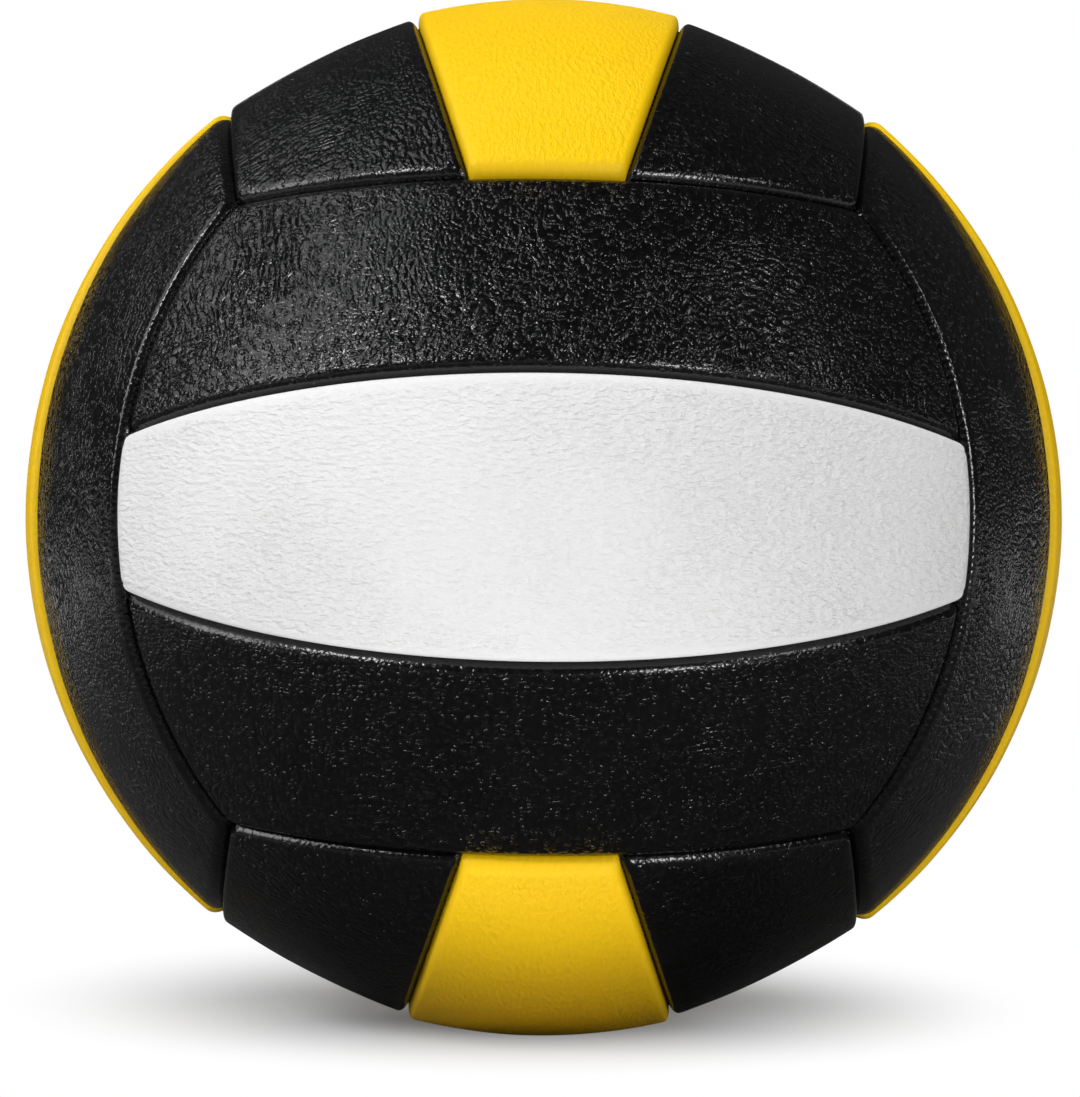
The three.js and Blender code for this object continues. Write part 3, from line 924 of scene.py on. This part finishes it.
def stitch_tree():
    """Sets a small bar on every stitch of the seams, with its length across the seam."""
    tree, add = new_tree("seam_stitches", ["Spacing", "Stitch length", "Thread radius"])
    given = add("NodeGroupInput")
    seams = add("GeometryNodeMeshToCurve", {"Mesh": given["Geometry"]})[0]
    spaced_links = {"Curve": seams, "Length": given["Spacing"]}
    spaced = add("GeometryNodeResampleCurve", spaced_links, mode="LENGTH")[0]
    place = add("GeometryNodeInputPosition")[0]
    tangent = add("GeometryNodeInputTangent")[0]
    upright = add("FunctionNodeAlignRotationToVector", {"Vector": place}, axis="Z")[0]
    turn_links = {"Rotation": upright, "Vector": tangent}
    turned = add("FunctionNodeAlignRotationToVector", turn_links, axis="X", pivot_axis="Z")[0]
    bar_links = {"Segments": stitch_sides, "Rings": stitch_rings, "Radius": 1.0}
    bar = add("GeometryNodeMeshUVSphere", bar_links)[0]
    half = add("ShaderNodeMath", (given["Stitch length"], 0.5), operation="MULTIPLY")[0]
    size = add("ShaderNodeCombineXYZ", (given["Thread radius"], half, given["Thread radius"]))[0]
    least, most = stitch_variation
    varied_links = {2: least, 3: most, "Seed": given["Seed"]}
    varied = add("FunctionNodeRandomValue", varied_links, data_type="FLOAT")[1]
    scale = add("ShaderNodeVectorMath", {0: size, "Scale": varied}, operation="SCALE")[0]
    bars_links = {"Points": spaced, "Instance": bar, "Rotation": turned, "Scale": scale}
    bars = add("GeometryNodeInstanceOnPoints", bars_links)[0]
    real = add("GeometryNodeRealizeInstances", (bars,))[0]
    threaded = add("GeometryNodeSetMaterial", {"Geometry": real, "Material": given["Material"]})[0]
    add("NodeGroupOutput", {"Geometry": threaded})
    return tree


# Bonded polyester thread: black, round and slightly waxy, twisted from three strands.
thread, thread_tree = new_material("bonded_polyester_thread")
thread_place = add_node(thread_tree, "ShaderNodeTexCoord")["Object"]
strand_links = {"Vector": thread_place, "Scale": 1 / (strand_spacing * MM)}
strands = add_node(thread_tree, "ShaderNodeTexNoise", strand_links)[0]
give_surface(thread_tree, ("#060607", "#18181a"), strands, Roughness=0.45, IOR=1.5)

seam_lines, seam_edges = [], []
along_seam = np.linspace(0, 1, seam_points)
for face_name, (run, out, _) in ball_faces.items():
    for seam in face_seams:
        wide = tuple(np.full(seam_points, value) for value in seam)
        directions, _ = line_points(wide, along_seam)
        start = len(seam_lines) * seam_points
        seam_lines.append(directions @ face_turn(run, out).T * (ball_radius - seam_depth) * MM)
        seam_edges += [(start + i, start + i + 1) for i in range(seam_points - 1)]
stitch_mesh = bpy.data.meshes.new("stitches")
stitch_mesh.from_pydata(np.concatenate(seam_lines).tolist(), seam_edges, [])
stitches = bpy.data.objects.new("stitches", stitch_mesh)
bpy.context.scene.collection.objects.link(stitches)
stitch_inputs = {
    "Spacing": stitch_spacing * MM,
    "Stitch length": stitch_length * MM,
    "Thread radius": thread_radius * MM,
    "Seed": stitch_seed,
    "Material": thread,
}
form(stitches, stitch_tree(), stitch_inputs)
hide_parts("seam_stitching")
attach(stitches, "root")


# Studio
# The ball rests on a white table. Small bright lamps stand to its left, to its right and at its upper
# right, and large soft ones fill in around it. The table keeps the ball's soft shadow, partly real and
# partly painted, and fades into the white background.

table_radius = 1.4
table_sides = 96
# Where the table turns white: the middle, and the distances at which that starts and ends. Inside it the
# table is lit grey, so its shadow there is partly real and partly painted by this fade.
shadow_reach = ((-0.007, 0.07), 0.04, 0.155)
shadow_squeeze = (1.35, 1, 1)
reflected_reach = ((0, 0), 0.5, 1.3)
card_distance = 3.2
card_half_width = 0.6
card_height = 0.6
room_light = 0.045
# Each lamp: where it stands, how wide it is, its watts, and whether the camera and reflections show it.
lamps = {
    "left_key": ((-1.06, -1.25, 0.95), 0.35, 9.5, True),
    "right_key": ((0.85, -1.6, 0.2), 0.35, 8, True),
    "upper_right": ((1.2, -0.95, 0.82), 0.3, 2.4, True),
    "left": ((-1.3, -0.5, 0.45), 0.6, 4.5, True),
    "upper_left": ((-1.0, -0.05, 1.0), 1.2, 5, True),
    "top": ((0.0, -0.2, 1.6), 1.2, 14, False),
    "right": ((1.5, -0.6, 0.5), 1.0, 2.5, False),
    "back": ((0.3, 1.6, 0.9), 1.0, 14, False),
    "bounce": ((0.0, -0.19, -0.1), 0.22, 0.12, False),
}


def stage_piece(name, points, material):
    mesh = bpy.data.meshes.new(name)
    mesh.from_pydata(points, [], [list(range(len(points)))])
    mesh.materials.append(material)
    piece = bpy.data.objects.new(name, mesh)
    bpy.context.scene.collection.objects.link(piece)
    return piece


# Grey-white laminate. The camera sees it as white outside a ring round the ball, and as lit grey within it.
# In reflections the white starts further out, and nearer to the ball they show a darker grey: painted shade.
laminate, laminate_tree = new_material("white_laminate")
paint = partial(add_node, laminate_tree)
table_links = (paint("ShaderNodeTexCoord")["Object"], shadow_squeeze)
table_place = paint("ShaderNodeVectorMath", table_links, operation="MULTIPLY")[0]
ray = paint("ShaderNodeLightPath")
reflected_links = (ray["Is Glossy Ray"], ray["Is Transmission Ray"])
reflected = paint("ShaderNodeMath", reflected_links, operation="MAXIMUM")[0]
white_shares = []
for rays, (middle, start, end) in ((ray["Is Camera Ray"], shadow_reach), (reflected, reflected_reach)):
    from_links = (table_place, (*middle, rest_height * MM))
    distance = paint("ShaderNodeVectorMath", from_links, operation="DISTANCE")[1]
    share = paint("ShaderNodeMapRange", {0: distance, 1: start, 2: end}, interpolation_type="SMOOTHSTEP")[0]
    white_shares.append(paint("ShaderNodeMath", (rays, share), operation="MULTIPLY")[0])
white_share = paint("ShaderNodeMath", white_shares, operation="MAXIMUM")[0]
tone_links = {0: reflected, 6: linear("#c0c0c0"), 7: linear("#545454")}
laminate_grey_and_painted_shade = paint("ShaderNodeMix", tone_links, data_type="RGBA")[2]
matt = paint("ShaderNodeBsdfDiffuse", {"Color": laminate_grey_and_painted_shade})[0]
white = paint("ShaderNodeEmission", {"Color": (1, 1, 1, 1), "Strength": 1.0})[0]
table_surface = paint("ShaderNodeMixShader", (white_share, matt, white))[0]
paint("ShaderNodeOutputMaterial", {"Surface": table_surface})

# White card, evenly lit. It stands well behind the table and fills the picture.
card, card_tree = new_material("white_card")
card_light = add_node(card_tree, "ShaderNodeEmission", {"Color": (1, 1, 1, 1), "Strength": 1.0})[0]
add_node(card_tree, "ShaderNodeOutputMaterial", {"Surface": card_light})

table_foot = rest_height * MM
table_angles = np.linspace(0, 2 * math.pi, table_sides, endpoint=False)
table_edge = [(table_radius * math.cos(a), table_radius * math.sin(a), table_foot) for a in table_angles]
table = stage_piece("table", table_edge, laminate)
card_corners = ((-1, table_foot), (1, table_foot), (1, card_height), (-1, card_height))
card_points = [(side * card_half_width, card_distance, z) for side, z in card_corners]
backdrop = stage_piece("backdrop", card_points, card)

# Every lamp is turned to the ball, apart from the bounce. That stands for a white card on the table under the
# front of the ball, and lights it from below.
for lamp_name, (lamp_place, width, watts, shown) in lamps.items():
    lamp_data = bpy.data.lights.new(lamp_name, "AREA")
    lamp_data.shape = "DISK"
    lamp_data.size = width
    lamp_data.energy = watts
    lamp = bpy.data.objects.new(lamp_name, lamp_data)
    lamp.location = lamp_place
    towards = Vector((0, 0, 1)) if lamp_name == "bounce" else -lamp.location
    lamp.rotation_euler = towards.to_track_quat("-Z", "Y").to_euler()
    lamp.visible_camera = shown
    lamp.visible_glossy = shown
    bpy.context.scene.collection.objects.link(lamp)

# The room behind everything is white for the camera and through clear pieces, and dim for all else.
world = bpy.data.worlds.new("white_room")
bpy.context.scene.world = world
world.use_nodes = True
world_tree = world.node_tree
world_tree.nodes.clear()
seen = add_node(world_tree, "ShaderNodeLightPath")
straight_links = (seen["Is Camera Ray"], seen["Is Transmission Ray"])
straight = add_node(world_tree, "ShaderNodeMath", straight_links, operation="MAXIMUM")[0]
strength = add_node(world_tree, "ShaderNodeMath", (straight, room_light), operation="MAXIMUM")[0]
room = add_node(world_tree, "ShaderNodeBackground", {"Color": (1, 1, 1, 1), "Strength": strength})[0]
add_node(world_tree, "ShaderNodeOutputWorld", {"Surface": room})
